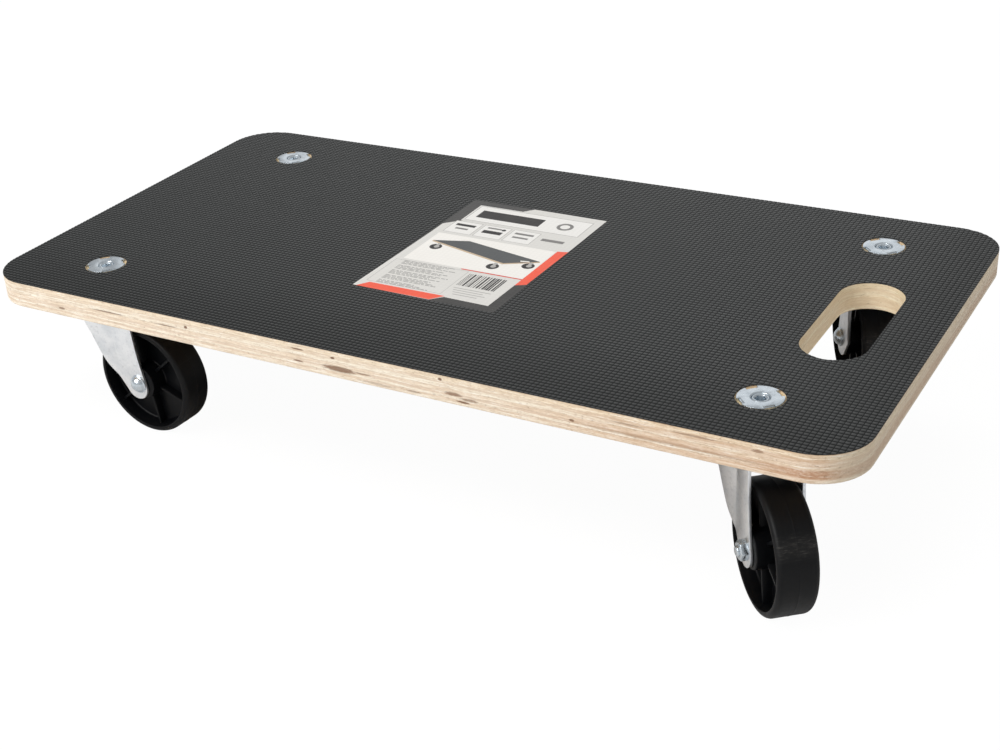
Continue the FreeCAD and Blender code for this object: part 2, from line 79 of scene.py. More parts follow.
# Sticker, turned slightly about its centre
LABEL_X, LABEL_Y, LABEL_W, LABEL_H, LABEL_ANGLE = -3.4, 4.5, 100.0, 150.0, -0.7
LABEL_BED_Z, LABEL_Z = 111.35, 111.44
LABEL_CORNER_R = 1.5
LABEL_GAP = 0.15       # film cut back round the sticker
PRINT_STEP = 0.006     # rise of each print level
PRINT_MARGIN = 0.05    # print stays this far inside the sticker

# Casters
CASTER_X, CASTER_Y = 222.5, 105.0
POCKET_R = 13.3        # round openings in the film above the casters
TRAIL = 27.3           # swivel axis to axle
WHEEL_R = 37.4
AXLE_Z = WHEEL_R
RIM_HALF, WEB_HALF, HUB_HALF = 11.3, 2.5, 13.5
# name: swivel x, y, heading of the axle from the swivel, place of the tread scuff (degrees)
CASTERS = {
    "front_left": (-CASTER_X, -CASTER_Y, -2.6, 150.0),
    "front_right": (CASTER_X, -CASTER_Y, -49.7, -31.0),
    "back_right": (CASTER_X, CASTER_Y, 123.5, 200.0),
    "back_left": (-CASTER_X, CASTER_Y, 155.0, 80.0),
}


# ---------------------------------------------------------------------------
# Node building
# ---------------------------------------------------------------------------
def srgb(red, green, blue):
    """Linear RGBA from 8-bit sRGB values."""
    def linear(value):
        value /= 255.0
        return value / 12.92 if value <= 0.04045 else ((value + 0.055) / 1.055) ** 2.4
    return (linear(red), linear(green), linear(blue), 1.0)


class Tree:
    """A node tree that is filled from Python expressions."""

    def __init__(self, tree):
        self.tree = tree
        tree.nodes.clear()

    def add(self, kind, inputs=(), **props):
        """New node; inputs maps socket keys to fields to link or values to set."""
        count = len(self.tree.nodes)
        node = self.tree.nodes.new(kind)
        node.location = (200 * (count % 12), -220 * (count // 12))
        for key, value in props.items():
            setattr(node, key, value)
        for key, value in dict(inputs).items():
            if isinstance(value, Field):
                self.tree.links.new(value.socket, node.inputs[key])
            else:
                node.inputs[key].default_value = value
        return node

    def field(self, kind, inputs=(), output=0, **props):
        return Field(self, self.add(kind, inputs, **props).outputs[output])

    def math(self, operation, *values, clamp=False):
        return self.field("ShaderNodeMath", dict(enumerate(values)),
                          operation=operation, use_clamp=clamp)

    def combine(self, *values):
        return self.field("ShaderNodeCombineXYZ", dict(enumerate(values)))

    def point(self):
        """Object coordinates in millimetres."""
        metres = self.field("ShaderNodeTexCoord", output="Object")
        return metres.vector("MULTIPLY", (1000.0, 1000.0, 1000.0))

    def principled(self, color, rough, normal, specular=0.5, metallic=0.0):
        shader = self.field("ShaderNodeBsdfPrincipled", {
            "Base Color": color, "Roughness": rough, "Metallic": metallic,
            "Specular IOR Level": specular, "Normal": normal})
        self.add("ShaderNodeOutputMaterial", {0: shader})


class Field:
    """A node output; arithmetic and methods on it add nodes to its tree."""

    def __init__(self, tree, socket):
        self.tree = tree
        self.socket = socket

    def __add__(self, other):
        return self.tree.math("ADD", self, other)

    def __radd__(self, other):
        return self.tree.math("ADD", other, self)

    def __sub__(self, other):
        return self.tree.math("SUBTRACT", self, other)

    def __rsub__(self, other):
        return self.tree.math("SUBTRACT", other, self)

    def __mul__(self, other):
        return self.tree.math("MULTIPLY", self, other)

    def __truediv__(self, other):
        return self.tree.math("DIVIDE", self, other)

    def abs(self):
        return self.tree.math("ABSOLUTE", self)

    def sine(self):
        return self.tree.math("SINE", self)

    def maximum(self, other):
        return self.tree.math("MAXIMUM", self, other)

    def xyz(self):
        node = self.tree.add("ShaderNodeSeparateXYZ", {0: self})
        return [Field(self.tree, output) for output in node.outputs]

    def vector(self, operation, other, output=0):
        return self.tree.field("ShaderNodeVectorMath", {0: self, 1: other}, output,
                               operation=operation)

    def scaled(self, scale, shift=None):
        """Point times scale (one number or one per axis), then shifted."""
        factors = scale if isinstance(scale, tuple) else (scale,) * 3
        point = self.vector("MULTIPLY", factors)
        return point.vector("ADD", shift) if shift else point

    def noise(self, scale=None, shift=None, detail=2.0, rough=0.5, distortion=0.0):
        """Noise at this point; scale is in cells per unit, rough weighs the fine octaves."""
        point = self.scaled(scale, shift) if scale else self
        return self.tree.field("ShaderNodeTexNoise", {
            "Vector": point, "Scale": 1.0, "Detail": detail,
            "Roughness": rough, "Distortion": distortion})

    def cells(self, scale, shift):
        """Distance to the nearest of randomly scattered points."""
        return self.tree.field("ShaderNodeTexVoronoi", {
            "Vector": self.scaled(scale, shift), "Scale": 1.0, "Randomness": 1.0}, feature="F1")

    def step(self, start, end, low, high, kind="SMOOTHSTEP"):
        """Ease from low to high as the value goes from start to end."""
        return self.tree.field("ShaderNodeMapRange", {
            "Value": self, "From Min": start, "From Max": end,
            "To Min": low, "To Max": high}, interpolation_type=kind)

    def rise(self, start, end, by=1.0):
        return self.step(start, end, 0.0, by)

    def fall(self, start, end, by=1.0):
        return self.step(start, end, by, 0.0)

    def linear(self, start, end, low, high):
        return self.step(start, end, low, high, kind="LINEAR")

    def lerp(self, off, on):
        """Value off where this mask is 0, on where it is 1."""
        return self.tree.field("ShaderNodeMix", {0: self, 2: off, 3: on}, data_type="FLOAT")

    def ramp(self, stops):
        """Colour ramp from (position, RGBA) stops."""
        node = self.tree.add("ShaderNodeValToRGB", {0: self})
        elements = node.color_ramp.elements
        while len(elements) > 1:
            elements.remove(elements[-1])
        elements[0].position, elements[0].color = stops[0]
        for position, color in stops[1:]:
            elements.new(position).color = color
        return Field(self.tree, node.outputs["Color"])

    def bump(self, distance, strength, normal=None):
        """Normal from this height; distance is in metres."""
        inputs = {"Height": self, "Distance": distance, "Strength": strength}
        if normal:
            inputs["Normal"] = normal
        return self.tree.field("ShaderNodeBump", inputs)


def stain(base, *layers):
    """Lay (mask, colour) layers over base in turn; colours are fields or 8-bit sRGB."""
    def paint(color):
        return color if isinstance(color, Field) else srgb(*color)
    for mask, color in layers:
        base = mask.tree.field("ShaderNodeMix", {0: mask, 6: paint(base), 7: paint(color)}, 2,
                               data_type="RGBA", blend_type="MIX")
    return base


def material(name):
    result = bpy.data.materials.new(name)
    result.use_nodes = True
    return result, Tree(result.node_tree)


# ---------------------------------------------------------------------------
# Plywood
# ---------------------------------------------------------------------------
# Layers seen on the long and short edges: depth below the top, then 8-bit colour.
LONG_EDGE = [
    (0.0, 222, 196, 160), (1.6, 233, 208, 172), (2.75, 238, 217, 187), (2.95, 196, 164, 130),
    (3.15, 217, 190, 158), (4.45, 222, 196, 164), (4.62, 184, 154, 122), (4.85, 240, 226, 203),
    (6.9, 243, 231, 211), (7.15, 200, 172, 141), (7.35, 227, 202, 172), (9.55, 230, 205, 176),
    (9.75, 178, 146, 114), (10.0, 211, 178, 148), (11.2, 220, 190, 160), (11.45, 240, 225, 203),
    (12.6, 242, 229, 208), (12.8, 190, 158, 126), (13.0, 214, 182, 150), (14.15, 220, 190, 158),
    (14.35, 238, 220, 196), (17.0, 234, 212, 186),
]
SHORT_EDGE = [
    (0.0, 224, 200, 160), (4.6, 230, 206, 166), (4.8, 190, 160, 124), (5.1, 226, 206, 176),
    (7.0, 232, 214, 186), (7.2, 196, 168, 136), (7.5, 214, 188, 156), (9.7, 218, 190, 158),
    (9.9, 184, 152, 120), (10.2, 228, 206, 176), (12.6, 232, 212, 182), (12.8, 186, 154, 120),
    (13.0, 208, 178, 146), (15.0, 212, 182, 150), (15.2, 228, 206, 174), (17.0, 226, 204, 172),
]
# Knots and core gaps on the front edge: x, depth, half length, half height, strength.
KNOTS = [
    (-183, 6.7, 13, 0.32, 0.75), (-137, 7.0, 8, 0.34, 0.6), (-222, 11.2, 2.6, 0.5, 0.7),
    (-121.5, 5.3, 1.3, 0.7, 0.9), (-39.5, 3.3, 4.5, 0.36, 0.85), (-15, 4.2, 1.4, 0.5, 0.9),
    (-39.5, 10.9, 3.5, 0.4, 0.8), (-11, 10.6, 11.0, 1.2, 0.8), (5, 10.4, 5.5, 0.35, 0.6),
    (56, 2.6, 1.3, 0.6, 0.85), (38, 14.2, 5.0, 0.4, 0.55), (64, 10.2, 5.5, 0.8, 0.7),
    (74, 12.0, 5.5, 0.6, 0.6), (70, 14.0, 4.0, 0.4, 0.9), (14, 14.6, 12, 0.5, 0.35),
    (136, 10.0, 1.5, 0.6, 0.8), (190, 11.0, 55, 0.6, 0.3), (168, 5.1, 9, 0.35, 0.45),
    (205, 3.4, 12, 0.4, 0.5), (238, 4.0, 3.2, 0.6, 0.6),
]
KNOT_STRETCH_X, KNOT_STRETCH_Z = 1.15, 1.7   # enlarge the tabled half sizes


def edge_voids(point, depth):
    """Mask of dark holes: placed knots on the front edge, scattered voids elsewhere."""
    x, y, _ = point.xyz()
    ragged = point.noise((0.4, 0.4, 1.6), (1.0, 2.0, 3.0), detail=3, rough=0.6)
    knots = None
    for knot_x, knot_depth, half_length, half_height, strength in KNOTS:
        across = (x - knot_x) / (half_length * KNOT_STRETCH_X)
        down = (depth - knot_depth) / (half_height * KNOT_STRETCH_Z)
        distance = across * across + down * down + (ragged - 0.5) * 1.6
        knot = distance.fall(0.25, 1.15) * strength
        knots = knots.maximum(knot) if knots else knot
    front = y.tree.math("LESS_THAN", y, 2.0 - DECK_W / 2)
    scattered = point.cells((0.028, 0.028, 0.42), (5.0, 1.0, 7.0)).fall(0.02, 0.09)
    return (knots * front).maximum(scattered * (1.0 - front) * 0.6)


def plywood_edge(point, side):
    """Colour and relief of the cut edges; side is 1 on faces that look along X."""
    tree = point.tree
    x, y, z = point.xyz()
    depth = PLY_TOP - z
    # layers wave a little along the edge
    bow = point.noise((0.012, 0.012, 0.0), detail=3, rough=0.55)
    ripple = point.noise((0.09, 0.09, 0.25), (7.1, 3.3, 1.0))
    layer = depth + (bow - 0.5) * 1.1 + (ripple - 0.5) * 0.34
    share = tree.math("DIVIDE", layer, PLY_THICK, clamp=True)
    long_edge, short_edge = (
        share.ramp([(stop / PLY_THICK, srgb(*rgb)) for stop, *rgb in plies])
        for plies in (LONG_EDGE, SHORT_EDGE))

    # streaks drawn out along the edge, from broad to a fraction of a millimetre
    broad = point.noise((0.02, 0.02, 1.1), detail=4, rough=0.6)
    streak = point.noise((0.07, 0.07, 3.4), (11.0, 5.0, 2.0), detail=3, rough=0.6)
    fibre = point.noise((0.06, 0.06, 1.25), (3.0, 13.0, 6.0), detail=5, rough=0.75)
    grain = point.noise((0.30, 0.30, 0.9), (6.0, 2.0, 9.0), detail=4, rough=0.85)
    # warmer veneers toward the right end, one of them low down
    warm = point.noise((0.006, 0.006, 0.35), (3.0, 0, 9.0)).rise(0.42, 0.6, by=0.40)
    low_ply = x.rise(225, 268) * (depth.rise(8.6, 9.6) * depth.fall(13.4, 14.6))
    # open pores as short dashes, stronger in every other layer
    dashes = point.noise((0.34, 0.34, 1.1), (2.0, 8.0, 4.0), detail=3, rough=0.8)
    end_grain = tree.math("GREATER_THAN", (layer * 1.13).sine(), 0.1)
    pores = dashes.rise(0.585, 0.68) * (end_grain * 0.6 + 0.25)
    voids = edge_voids(point, depth)
    # the hand hole is yellower than the outer end edges
    in_slot = ((x - SLOT_X).abs().fall(SLOT_W / 2 + 2, SLOT_W / 2 + 4)
               * y.abs().fall(SLOT_LEN / 2 + 2, SLOT_LEN / 2 + 6))

    color = stain(
        long_edge,
        (side, short_edge),
        (broad.rise(0.42, 0.72, by=0.62), (206, 172, 138)),
        (broad.fall(0.30, 0.48, by=0.5), (250, 241, 226)),
        (streak.rise(0.55, 0.74, by=0.5), (190, 154, 120)),
        (fibre.rise(0.49, 0.60, by=0.62), (186, 148, 110)),
        (fibre.fall(0.38, 0.47, by=0.75), (252, 246, 236)),
        (grain.rise(0.52, 0.62, by=0.50), (170, 130, 94)),
        (grain.fall(0.34, 0.47, by=0.34), (255, 250, 240)),
        (x.step(60, 200, low=0.32, high=0.16), (244, 240, 226)),
        (x.rise(60, 230) * warm, (206, 168, 136)),
        (low_ply * grain.step(0.34, 0.60, low=0.25, high=0.75), (176, 126, 92)),
        (pores * 0.85, (140, 102, 70)),
        (voids, (112, 74, 46)),
        (side * (1.0 - in_slot) * 0.42, (216, 206, 184)),
        (in_slot * 0.45, (255, 241, 204)),
        (depth.fall(0.0, 0.55, by=0.28), (150, 118, 86)))   # darker right under the film
    saw = point.noise((0.9, 0.9, 0.05))
    relief = broad * 0.5 + streak * 0.35 - pores * 0.5 - voids * 0.9 + saw * 0.18
    return color, relief, streak.linear(0.3, 0.7, low=0.58, high=0.74)


def plywood_face(point):
    """Colour, relief and roughness of the flat faces, with long cathedral figure."""
    _, y, z = point.xyz()
    figure = point.noise((0.0035, 0.014, 0.0), detail=3, distortion=0.6)
    rings = (figure * 95.0 + y * 0.02).sine()
    fibre = point.noise((0.018, 1.4, 0.0), detail=4, rough=0.62)
    cloud = point.noise((0.006, 0.02, 0.0), (4.0, 4.0, 0.0), detail=3)
    vessels = point.noise((0.12, 2.6, 0.0), (9.0, 2.0, 0.0), rough=0.7)
    knot = point.cells((0.006, 0.010, 0.0), (2.6, 0.4, 0.0)).fall(0.035, 0.075)
    color = stain(
        (226, 198, 160),
        (rings.linear(-1, 1, low=0, high=1), (213, 180, 138)),
        (fibre.rise(0.45, 0.72, by=0.55), (192, 156, 116)),
        (fibre.fall(0.28, 0.45, by=0.4), (240, 218, 186)),
        (cloud.rise(0.40, 0.68, by=0.35), (222, 188, 146)),
        (vessels.rise(0.66, 0.76, by=0.5), (146, 108, 74)),
        (knot * 0.75, (120, 78, 48)),
        # painted light: flat faces just below the top, the floors of the shallow pockets, are
        # painted much paler to make up for their shade
        (z.rise(108, 109, by=0.75), (250, 228, 184)))
    relief = fibre * 0.4 + vessels * -0.25
    return color, relief, fibre.linear(0.3, 0.7, low=0.46, high=0.62)


def birch_plywood():
    result, tree = material("birch_plywood")
    point = tree.point()
    normal_x, _, normal_z = tree.field("ShaderNodeNewGeometry", output="Normal").xyz()
    flat = normal_z.abs().rise(0.80, 0.97)
    edge, edge_relief, edge_rough = plywood_edge(point, side=normal_x.abs().rise(0.35, 0.8))
    face, face_relief, face_rough = plywood_face(point)
    marks = point.noise((0.02, 0.02, 0.05), (1.0, 6.0, 0.0), detail=4)
    color = stain(edge, (flat, face), (marks.rise(0.55, 0.75, by=0.14), (170, 140, 110)))
    relief = flat.lerp(edge_relief, face_relief)
    tree.principled(color, flat.lerp(edge_rough, face_rough),
                    relief.bump(distance=0.00032, strength=0.8), specular=0.35)
    return result


# ---------------------------------------------------------------------------
# Other materials
# ---------------------------------------------------------------------------
def phenolic_film():
    result, tree = material("phenolic_film")
    point = tree.point()
    x, y, z = point.xyz()
    crest = z.rise(111.34, 111.455)   # pad tops, not valleys
    big = point.noise((0.011, 0.02, 0.0), detail=4, rough=0.55)
    middle = point.noise((0.08, 0.08, 0.0), (5.0, 2.0, 0.0), detail=3, rough=0.6)
    fine = point.noise(0.9, (3.0, 9.0, 0.0), detail=3, rough=0.7)
    dust = point.noise(0.45, (13.0, 1.0, 2.0), rough=0.8)
    # rub marks running along the deck
    lines = point.noise((0.010, 0.55, 0.0), (1.0, 4.0, 0.0), detail=3, rough=0.6)
    rub = lines.rise(0.63, 0.75) * crest
    # painted shade: darker colour and weaker reflection toward the front and right borders
    painted_border_shade = (y * -1.0).rise(70, 148).maximum(x.rise(228, 284, by=0.8))
    color = stain(
        (22, 24, 24),
        # painted light and shade: the pad tops are painted lighter than the valleys
        (crest, (38, 41, 41)),
        (big.rise(0.40, 0.66, by=0.25), (48, 50, 50)),
        (middle.rise(0.56, 0.78, by=0.22) * crest, (70, 72, 72)),
        (dust.rise(0.745, 0.80, by=0.35), (112, 110, 104)),
        (rub * 0.22, (80, 81, 80)),
        # painted shade toward the front and right borders
        (painted_border_shade * 0.55, (19, 21, 21)))
    rough = crest.lerp(0.66, 0.42) + (fine - 0.5) * 0.16 + (big - 0.5) * 0.12 - rub * 0.06
    specular = crest.lerp(0.20, 0.58) * painted_border_shade.linear(0, 1, low=1.03, high=0.84)
    normal = (fine + middle * 0.5).bump(distance=0.00006, strength=0.6)
    tree.principled(color, rough, normal, specular)
    return result


def label_print():
    result, tree = material("label_print")
    point = tree.point()
    x, y, _ = point.xyz()
    ink = tree.field("ShaderNodeAttribute", output="Color", attribute_name="print_col")
    gloss = tree.field("ShaderNodeAttribute", output="Fac", attribute_name="print_gloss")
    # the film mesh below presses through
    turn = 2 * math.pi / MESH_PITCH
    cell = ((x * turn).sine() + 1.0) * ((y * turn).sine() + 1.0)
    blotch = point.noise(0.05, detail=4, rough=0.6)
    fine = point.noise(1.3)
    color = stain(ink, (blotch.linear(0.3, 0.7, low=0, high=0.05), (196, 190, 180)))
    # painted shade: the print is darkened slightly in the hollows of the pressed-through mesh
    shaded = tree.field("ShaderNodeVectorMath", {
        0: color, "Scale": cell.linear(0, 3, low=0.965, high=1)}, operation="SCALE")
    rough = gloss.lerp(0.42, 0.22) + (fine - 0.5) * 0.08
    normal = (cell * 0.25 + fine * 0.08).bump(distance=0.00006, strength=0.5)
    tree.principled(shaded, rough, normal, specular=gloss.lerp(0.20, 0.22))
    return result


def zinc(name, base, tint, rough_low, rough_high, mottle, bump, metallic, seed):
    """Zinc plating: base and tint colours in clouds, with mottle and small dark spots."""
    result, tree = material(name)
    point = tree.point()
    shift = (seed * 3.7, seed * 1.9, seed * 5.3)
    big = point.noise(0.09, shift, detail=4, rough=0.6)
    middle = point.noise(0.42, shift, detail=4, rough=0.65)
    fine = point.noise(2.2, shift, detail=3, rough=0.6)
    lines = point.noise((0.5, 0.5, 6.0), shift)
    spots = point.noise(0.8, (shift[1], shift[2], shift[0]), rough=0.8)
    color = stain(
        base,
        (big.rise(0.36, 0.66, by=0.8), tint),
        (middle.rise(0.52, 0.74, by=mottle), (150, 152, 156)),
        (middle.fall(0.26, 0.42, by=mottle * 0.8), (238, 240, 244)),
        (spots.rise(0.70, 0.78, by=0.5), (112, 106, 98)))
    rough = (middle * 0.7 + fine * 0.3).linear(0.3, 0.7, rough_low, rough_high)
    relief = middle * 0.6 + (fine * 0.25 + lines * 0.15)
    rounded = tree.field("ShaderNodeBevel", {"Radius": 0.00022}, samples=4)
    tree.principled(color, rough, relief.bump(bump, 0.8, rounded), metallic=metallic)
    return result


def ball_steel():
    result, tree = material("ball_steel")
    point = tree.point()
    fine = point.noise(1.2, detail=3)
    grease = point.noise((0.25, 0.25, 0.6), (4.0, 4.0, 4.0), detail=3)
    color = stain(
        (196, 197, 200),
        (fine.rise(0.4, 0.7, by=0.5), (150, 146, 138)),
        (grease.rise(0.55, 0.7, by=0.5), (120, 96, 60)))
    tree.principled(color, grease.linear(0.4, 0.7, low=0.12, high=0.34),
                    fine.bump(distance=0.00003, strength=0.5), metallic=1.0)
    return result


def black_pp():
    """Wheel plastic; wheel_rw holds radius share, width share and angle from the scuff."""
    scuff_angle = 0.0
    result, tree = material("black_pp")
    point = tree.point()
    radius, width, angle = tree.field(
        "ShaderNodeAttribute", output="Vector", attribute_name="wheel_rw").xyz()
    big = point.noise(0.05, detail=4, rough=0.55)
    middle = point.noise(0.35, (2.0, 7.0, 1.0), detail=4, rough=0.65)
    fine = point.noise(2.4, (1.0, 1.0, 6.0), rough=0.7)
    speck = point.noise(1.15, (8.0, 3.0, 5.0), rough=0.8)
    tread = radius.rise(0.93, 0.985)
    rim_face = radius.rise(0.86, 0.90) * (1.0 - tread)
    # wear streaks across and around the tread
    across = tree.combine(angle * 26.0, width * 1.1, 3.0).noise(detail=4, rough=0.6)
    around = tree.combine(angle * 1.6, width * 15.0, 8.0).noise(detail=3, rough=0.6)
    wear = tread * (around.rise(0.48, 0.72, by=0.55) + across.rise(0.55, 0.75, by=0.35))
    # one scuffed patch on the tread
    patch = (angle - scuff_angle).abs().fall(0.02, 0.24) * tread
    scratch = tree.combine(angle * 38.0, width * 2.1, 1.0).noise(detail=5, rough=0.72)
    color = stain(
        (5, 6, 8),
        (big.rise(0.38, 0.68, by=0.55), (9, 10, 13)),
        (wear, (15, 16, 18)),
        (speck.rise(0.735, 0.80) * (tread * 0.22 + 0.05), (120, 116, 108)),
        (patch * 0.28, (46, 45, 44)),
        (patch * scratch.rise(0.46, 0.74, by=0.42), (92, 90, 86)),
        (rim_face * 0.35, (24, 24, 25)))
    rough = tread.lerp(0.40, 0.47) + (middle - 0.5) * 0.22 + wear * 0.10
    relief = middle * 0.55 + fine * 0.2 + patch * scratch * 0.9 + across * tread * 0.25
    tree.principled(color, rough, relief.bump(distance=0.00009, strength=0.7),
                    specular=tread.lerp(0.12, 0.20))
    return result


materials = {
    "birch_plywood": birch_plywood(),
    "phenolic_film": phenolic_film(),
    "label_print": label_print(),
    "zinc_plate": zinc(
        "zinc_plate", base=(236, 238, 240), tint=(216, 220, 224), rough_low=0.26,
        rough_high=0.42, mottle=0.30, bump=0.00007, metallic=0.93, seed=1.0),
    "zinc_bolt": zinc(
        "zinc_bolt", base=(208, 217, 224), tint=(186, 196, 204), rough_low=0.16,
        rough_high=0.36, mottle=0.45, bump=0.00006, metallic=0.95, seed=2.0),
    "ball_steel": ball_steel(),
    "black_pp": black_pp(),
}

# Carried-over CAD nodes take the finish of their slot.
slot_of = {part["node"]: part["material_slot"] for part in frame["record"]["subparts"]}
for node_name, cad_object in frame["nodes"].items():
    cad_object.data.materials.clear()
    cad_object.data.materials.append(materials[slot_of[node_name]])


# ---------------------------------------------------------------------------
# Mesh helpers
# ---------------------------------------------------------------------------
def new_piece(name, verts, faces, slot, body, replaced, smooth=True):
    """Object from vertices in millimetres, standing in for the CAD node replaced."""
    mesh = bpy.data.meshes.new(name)
    mesh.from_pydata([tuple(value * MM for value in vert) for vert in verts], [], faces)
    mesh.validate()
    mesh.update()
    for polygon in mesh.polygons:
        polygon.use_smooth = smooth
    piece = bpy.data.objects.new(name, mesh)
    bpy.context.scene.collection.objects.link(piece)
    mesh.materials.append(materials[slot])
    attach(piece, body)
    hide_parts(replaced)
    return piece


def arc(center_x, center_y, radius, start, end, count):
    """count + 1 points on an arc, angles in degrees."""
    angles = [math.radians(start + (end - start) * i / count) for i in range(count + 1)]
    return [(center_x + radius * math.cos(angle), center_y + radius * math.sin(angle))
            for angle in angles]


def circle(center_x, center_y, radius, count, sweep=360):
    return arc(center_x, center_y, radius, 0, sweep, count)[:-1]


def rounded_outline(length, width, radius, count):
    x, y = length / 2 - radius, width / 2 - radius
    points = []
    for corner_x, corner_y, start in ((x, -y, -90), (x, y, 0), (-x, y, 90), (-x, -y, 180)):
        points += arc(corner_x, corner_y, radius, start, start + 90, count)
    return points


def slot_outline(count=20):
    radius = SLOT_W / 2
    end = SLOT_LEN / 2 - radius
    return (arc(SLOT_X, end, radius, 0, 180, count)
            + arc(SLOT_X, -end, radius, 180, 360, count))


LABEL_COS = math.cos(math.radians(LABEL_ANGLE))
LABEL_SIN = math.sin(math.radians(LABEL_ANGLE))


def label_to_deck(across, up):
    return (LABEL_X + LABEL_COS * across - LABEL_SIN * up,
            LABEL_Y + LABEL_SIN * across + LABEL_COS * up)


def label_outline(grow):
    width, height = LABEL_W / 2 + grow, LABEL_H / 2 + grow
    return [label_to_deck(sign_x * width, sign_y * height)
            for sign_x, sign_y in ((-1, -1), (1, -1), (1, 1), (-1, 1))]


def half_planes(points):
    """(normal, offset) of each side of an anticlockwise convex polygon."""
    planes = []
    for start, end in zip(points, points[1:] + points[:1]):
        start, along = np.array(start), np.array(end) - np.array(start)
        normal = np.array([along[1], -along[0]]) / np.hypot(*along)
        planes.append((normal, float(normal @ start)))
    return planes


def clip(polygon, normal, offset, keep_inside=True):
    """Part of a 3D polygon with normal . xy <= offset, or >= if not keep_inside."""
    sign = 1.0 if keep_inside else -1.0
    distances = [sign * (normal[0] * p[0] + normal[1] * p[1] - offset) for p in polygon]
    kept = []
    for i, point in enumerate(polygon):
        j = (i + 1) % len(polygon)
        here, there = distances[i], distances[j]
        if here <= 1e-9:
            kept.append(point)
        if (here < -1e-9 and there > 1e-9) or (here > 1e-9 and there < -1e-9):
            share = here / (here - there)
            kept.append(tuple(a + share * (b - a) for a, b in zip(point, polygon[j])))
    return kept if len(kept) >= 3 else []


def cut_out(polygons, planes):
    """Parts of the polygons outside a convex hole."""
    kept = []
    for rest in polygons:
        for normal, offset in planes:
            outside = clip(rest, normal, offset, keep_inside=False)
            if outside:
                kept.append(outside)
            rest = clip(rest, normal, offset)
            if not rest:
                break
    return kept


# ---------------------------------------------------------------------------
# Anti-slip film: low pads with narrow valleys, trimmed to the deck and its openings
# ---------------------------------------------------------------------------
def mesh_lines(length, shift):
    """Valley lines covering a length."""
    count = int(math.ceil(length / MESH_PITCH)) + 1
    return [(i - count / 2.0) * MESH_PITCH + shift for i in range(count + 1)]


def pad_polygons(x0, x1, y0, y1):
    """Top and four slopes of the pad in one mesh cell."""
    x, y = (x0 + x1) / 2, (y0 + y1) / 2
    base = [(x0, y0, VALLEY_Z), (x1, y0, VALLEY_Z), (x1, y1, VALLEY_Z), (x0, y1, VALLEY_Z)]
    top = [(x - PAD_HALF_X, y - PAD_HALF_Y, PAD_Z), (x + PAD_HALF_X, y - PAD_HALF_Y, PAD_Z),
           (x + PAD_HALF_X, y + PAD_HALF_Y, PAD_Z), (x - PAD_HALF_X, y + PAD_HALF_Y, PAD_Z)]
    slopes = [[base[k], base[(k + 1) % 4], top[(k + 1) % 4], top[k]] for k in range(4)]
    return [top] + slopes


def build_film():
    half_x, half_y = DECK_L / 2, DECK_W / 2
    corner_reach = CORNER_R + 4.5
    outer = half_planes(rounded_outline(DECK_L, DECK_W, CORNER_R, 10))
    bed = label_outline(LABEL_GAP)
    outlines = [slot_outline(), bed]
    outlines += [circle(sign_x * CASTER_X, sign_y * CASTER_Y, POCKET_R, 36)
                 for sign_x in (-1, 1) for sign_y in (-1, 1)]
    holes = [(half_planes(outline), [min(axis) for axis in zip(*outline)],
              [max(axis) for axis in zip(*outline)]) for outline in outlines]
    verts, faces, index = [], [], {}

    def vertex(x, y, z):
        """Index of a vertex, shared with any within half a micron."""
        key = (round(x * 2000), round(y * 2000), round(z * 2000))
        if key not in index:
            index[key] = len(verts)
            verts.append((x, y, z))
        return index[key]

    def add_face(polygon):
        ids = []
        for point in polygon:
            number = vertex(*point)
            if not ids or ids[-1] != number:
                ids.append(number)
        if len(ids) > 1 and ids[0] == ids[-1]:
            ids.pop()
        if len(ids) >= 3:
            faces.append(ids)

    lines_x = mesh_lines(DECK_L, MESH_SHIFT_X)
    lines_y = mesh_lines(DECK_W, MESH_SHIFT_Y)
    for x0, x1 in zip(lines_x, lines_x[1:]):
        for y0, y1 in zip(lines_y, lines_y[1:]):
            if x0 >= half_x or x1 <= -half_x or y0 >= half_y or y1 <= -half_y:
                continue
            far_x, far_y = max(abs(x0), abs(x1)), max(abs(y0), abs(y1))
            polygons = pad_polygons(x0, x1, y0, y1)
            if (far_x > half_x - 0.01 or far_y > half_y - 0.01
                    or (far_x > half_x - corner_reach and far_y > half_y - corner_reach)):
                for normal, offset in outer:
                    clipped = (clip(polygon, normal, offset) for polygon in polygons)
                    polygons = [polygon for polygon in clipped if polygon]
            for planes, low, high in holes:
                if x1 > low[0] and x0 < high[0] and y1 > low[1] and y0 < high[1]:
                    polygons = cut_out(polygons, planes)
            for polygon in polygons:
                add_face(polygon)

    # walls down to the plywood along every trimmed edge
    edges = dict.fromkeys(pair for face in faces for pair in zip(face, face[1:] + face[:1]))
    trims = outer + [plane for planes, _, _ in holes for plane in planes]
    for a, b in [(a, b) for a, b in edges if (b, a) not in edges]:
        ends = [verts[a], verts[b]]
        if any(all(abs(normal[0] * end[0] + normal[1] * end[1] - offset) < 2e-3 for end in ends)
               for normal, offset in trims):
            low_a, low_b = (vertex(end[0], end[1], PLY_TOP) for end in ends)
            if low_a != low_b:
                faces.append([b, a, low_a, low_b])
    # smooth bed under the sticker
    faces.append([vertex(x, y, LABEL_BED_Z) for x, y in bed])
    film = new_piece("film_mesh", verts, faces, "phenolic_film", "deck", "anti_slip_film")
    film.data.set_sharp_from_angle(angle=math.radians(55))


# ---------------------------------------------------------------------------
# Sticker: a dark glossy sheet with flat printed shapes, placed in deck coordinates
# ---------------------------------------------------------------------------
SHEET, PAPER, WHITE, WARM = (32, 31, 30), (231, 229, 224), (249, 247, 243), (255, 252, 246)
DARK, GREY, PALE = (36, 34, 36), (132, 130, 128), (186, 184, 180)
CORAL, RED = (255, 96, 68), (226, 62, 46)
DECK_TOP, DECK_SIDE, DECK_END = (82, 85, 87), (214, 190, 160), (200, 172, 140)

